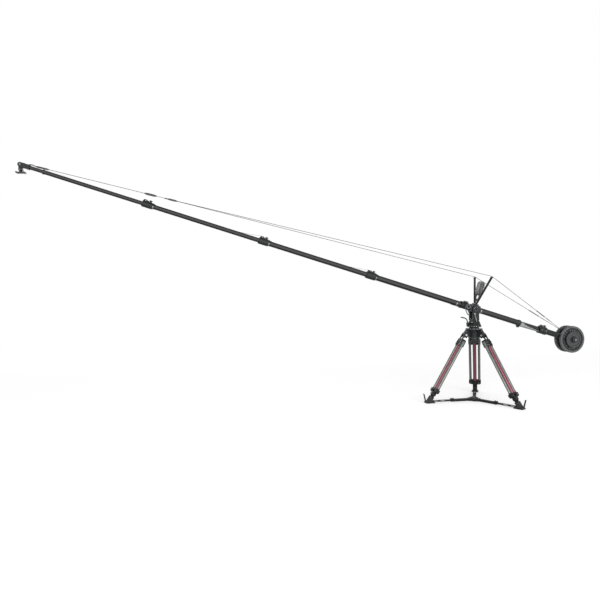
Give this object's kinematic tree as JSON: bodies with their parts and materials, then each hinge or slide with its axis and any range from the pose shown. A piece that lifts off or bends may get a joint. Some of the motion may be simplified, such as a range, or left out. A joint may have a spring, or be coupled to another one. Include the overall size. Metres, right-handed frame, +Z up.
{
  "type": "camera jib crane",
  "caption": "Camera jib: a stayed telescopic boom on a pan and tilt head, levelling camera plate, counterweights, and a tripod with a ground spreader.",
  "frame": {"origin": "on the floor under the pan axis, at the centre of the spreader hub's underside", "axes": "+Z up along the pan axis, -X towards the boom's camera end, +X towards the counterweights"},
  "size_m": [6.5281, 1.1342, 2.6948],
  "materials": {
    "black_casting": "satin",
    "dark_boom_tube": "satin",
    "grey_leg_tube": "satin",
    "red_leg_tube": "gloss",
    "silver_fitting": "polished",
    "steel_bar": "satin",
    "black_rubber": "matte",
    "black_plastic": "matte",
    "rubber_plate": "matte",
    "iron_plate": "matte",
    "stay_wire": "satin",
    "spare_cable": "matte",
    "level_vial": "gloss"
  },
  "bodies": {
    "tripod": {"crown": "black_casting", "pan_base": "black_casting", "leg_1_casting": "black_casting", "leg_1_outer_tubes": "grey_leg_tube", "leg_2_casting": "black_casting", "leg_2_outer_tubes": "grey_leg_tube", "leg_3_casting": "black_casting", "leg_3_outer_tubes": "grey_leg_tube"},
    "pan_head": {"pan_housing": "black_casting", "yoke": "black_casting"},
    "boom": {"fulcrum_block": "black_casting", "rear_tube": "dark_boom_tube", "boom_tube_1": "dark_boom_tube", "boom_tube_2": "dark_boom_tube", "boom_tube_3": "dark_boom_tube", "boom_tube_4": "dark_boom_tube", "collar_1": "black_casting", "collar_2": "black_casting", "collar_3": "black_casting", "nose_tube": "dark_boom_tube", "nose_fork": "black_casting", "rear_slide_tube": "dark_boom_tube", "rear_clamp": "black_casting", "weight_tube": "dark_boom_tube", "weight_bar": "steel_bar", "large_plate_near": "rubber_plate", "large_plate_far": "rubber_plate", "small_plate_near": "iron_plate", "small_plate_far": "iron_plate", "mast": "black_casting", "front_stay": "stay_wire", "stay_yoke": "stay_wire", "stay_near": "stay_wire", "stay_far": "stay_wire", "spare_cable_hank": "spare_cable"},
    "spreader": {"spreader_hub": "black_casting"},
    "level_head": {"level_head": "black_casting"},
    "camera_plate": {"camera_plate": "black_casting"},
    "leg_1_lower": {"leg_1_inner_tube": "red_leg_tube", "leg_1_foot": "black_rubber"},
    "spreader_arm_1": {"spreader_arm_1": "black_casting"},
    "leg_1_lock_knob": {"leg_1_lock_knob": "black_plastic"},
    "collar_1_knob": {"collar_1_knob": "black_plastic"},
    "leg_2_lower": {"leg_2_inner_tube": "red_leg_tube", "leg_2_foot": "black_rubber"},
    "spreader_arm_2": {"spreader_arm_2": "black_casting"},
    "leg_2_lock_knob": {"leg_2_lock_knob": "black_plastic"},
    "collar_2_knob": {"collar_2_knob": "black_plastic"},
    "leg_3_lower": {"leg_3_inner_tube": "red_leg_tube", "leg_3_foot": "black_rubber"},
    "spreader_arm_3": {"spreader_arm_3": "black_casting"},
    "leg_3_lock_knob": {"leg_3_lock_knob": "black_plastic"},
    "collar_3_knob": {"collar_3_knob": "black_plastic"},
    "bowl_nut": {"bowl_nut": "black_plastic"},
    "pan_lock_lever": {"pan_lock_lever": "black_plastic"},
    "tilt_lock_lever": {"tilt_lock_lever": "silver_fitting"},
    "boom_clamp_knob": {"boom_clamp_knob": "silver_fitting"},
    "rear_clamp_knob": {"rear_clamp_knob": "black_plastic"},
    "weight_knob_near": {"weight_knob_near": "black_plastic"},
    "weight_knob_far": {"weight_knob_far": "black_plastic"}
  },
  "joints": [
    {"name": "leg_1_extend", "type": "slide", "parent": "tripod", "child": "leg_1_lower", "axis": [-0.5041, 0, -0.8636], "range_m": [0, 0.4]},
    {"name": "leg_2_extend", "type": "slide", "parent": "tripod", "child": "leg_2_lower", "axis": [0.2521, -0.4366, -0.8636], "range_m": [0, 0.4]},
    {"name": "leg_3_extend", "type": "slide", "parent": "tripod", "child": "leg_3_lower", "axis": [0.2521, 0.4366, -0.8636], "range_m": [0, 0.4]},
    {"name": "spreader_drop", "type": "slide", "parent": "tripod", "child": "spreader", "axis": [0, 0, -1], "range_m": [0, 0.35]},
    {"name": "spreader_arm_1_slide", "type": "slide", "parent": "spreader", "child": "spreader_arm_1", "axis": [-1, 0, 0], "range_m": [0, 0.203]},
    {"name": "spreader_arm_2_slide", "type": "slide", "parent": "spreader", "child": "spreader_arm_2", "axis": [0.5, -0.866, 0], "range_m": [0, 0.203]},
    {"name": "spreader_arm_3_slide", "type": "slide", "parent": "spreader", "child": "spreader_arm_3", "axis": [0.5, 0.866, 0], "range_m": [0, 0.203]},
    {"name": "leg_1_lock_knob_turn", "type": "hinge", "parent": "tripod", "child": "leg_1_lock_knob", "pos_m": [-0.53634, 0, 0.16072], "axis": [-0.8636, 0, 0.5041], "continuous": true},
    {"name": "leg_2_lock_knob_turn", "type": "hinge", "parent": "tripod", "child": "leg_2_lock_knob", "pos_m": [0.26817, -0.46448, 0.16072], "axis": [0.4318, -0.7479, 0.5041], "continuous": true},
    {"name": "leg_3_lock_knob_turn", "type": "hinge", "parent": "tripod", "child": "leg_3_lock_knob", "pos_m": [0.26817, 0.46448, 0.16072], "axis": [0.4318, 0.7479, 0.5041], "continuous": true},
    {"name": "bowl_nut_turn", "type": "hinge", "parent": "tripod", "child": "bowl_nut", "pos_m": [0, 0, 0.717], "axis": [0, 0, 1], "continuous": true},
    {"name": "pan", "type": "hinge", "parent": "tripod", "child": "pan_head", "pos_m": [0, 0, 0.8945], "axis": [0, 0, 1], "continuous": true},
    {"name": "pan_lock", "type": "hinge", "parent": "pan_head", "child": "pan_lock_lever", "pos_m": [-0.085, 0, 0.94], "axis": [0, 0, 1], "range_deg": [-30, 30]},
    {"name": "tilt_lock", "type": "hinge", "parent": "pan_head", "child": "tilt_lock_lever", "pos_m": [-0.028, -0.059, 1.056], "axis": [0, 1, 0], "range_deg": [-25, 25]},
    {"name": "boom_tilt", "type": "hinge", "parent": "pan_head", "child": "boom", "pos_m": [0, 0, 1.113], "axis": [0, 1, 0], "range_deg": [-26, 17.8]},
    {"name": "boom_clamp_knob_turn", "type": "hinge", "parent": "boom", "child": "boom_clamp_knob", "pos_m": [-0.09744, 0, 1.14316], "axis": [0, 1, 0], "continuous": true},
    {"name": "collar_1_knob_turn", "type": "hinge", "parent": "boom", "child": "collar_1_knob", "pos_m": [-1.27148, 0, 1.50659], "axis": [0.2957, 0, 0.9553], "continuous": true},
    {"name": "collar_2_knob_turn", "type": "hinge", "parent": "boom", "child": "collar_2_knob", "pos_m": [-2.51525, 0, 1.8916], "axis": [0.2957, 0, 0.9553], "continuous": true},
    {"name": "collar_3_knob_turn", "type": "hinge", "parent": "boom", "child": "collar_3_knob", "pos_m": [-3.75902, 0, 2.27661], "axis": [0.2957, 0, 0.9553], "continuous": true},
    {"name": "rear_clamp_knob_turn", "type": "hinge", "parent": "boom", "child": "rear_clamp_knob", "pos_m": [0.92853, 0, 0.82557], "axis": [0.2957, 0, 0.9553], "continuous": true},
    {"name": "weight_knob_near_turn", "type": "hinge", "parent": "boom", "child": "weight_knob_near", "pos_m": [1.2858, 0, 0.71498], "axis": [0, 1, 0], "continuous": true},
    {"name": "weight_knob_far_turn", "type": "hinge", "parent": "boom", "child": "weight_knob_far", "pos_m": [1.2858, 0, 0.71498], "axis": [0, 1, 0], "continuous": true},
    {"name": "head_level", "type": "hinge", "parent": "boom", "child": "level_head", "pos_m": [-5.03241, 0, 2.67079], "axis": [0, 1, 0], "range_deg": [-18, 26.5]},
    {"name": "camera_pan", "type": "hinge", "parent": "level_head", "child": "camera_plate", "pos_m": [-5.03241, 0, 2.60079], "axis": [0, 0, 1], "continuous": true}
  ],
  "couplings": [
    {"joint": "leg_2_extend", "follows": "leg_1_extend", "ratio": 1},
    {"joint": "leg_3_extend", "follows": "leg_1_extend", "ratio": 1},
    {"joint": "spreader_drop", "follows": "leg_1_extend", "ratio": 0.86362},
    {"joint": "spreader_arm_1_slide", "follows": "leg_1_extend", "ratio": 0.50414},
    {"joint": "spreader_arm_2_slide", "follows": "leg_1_extend", "ratio": 0.50414},
    {"joint": "spreader_arm_3_slide", "follows": "leg_1_extend", "ratio": 0.50414},
    {"joint": "head_level", "follows": "boom_tilt", "ratio": -1}
  ]
}
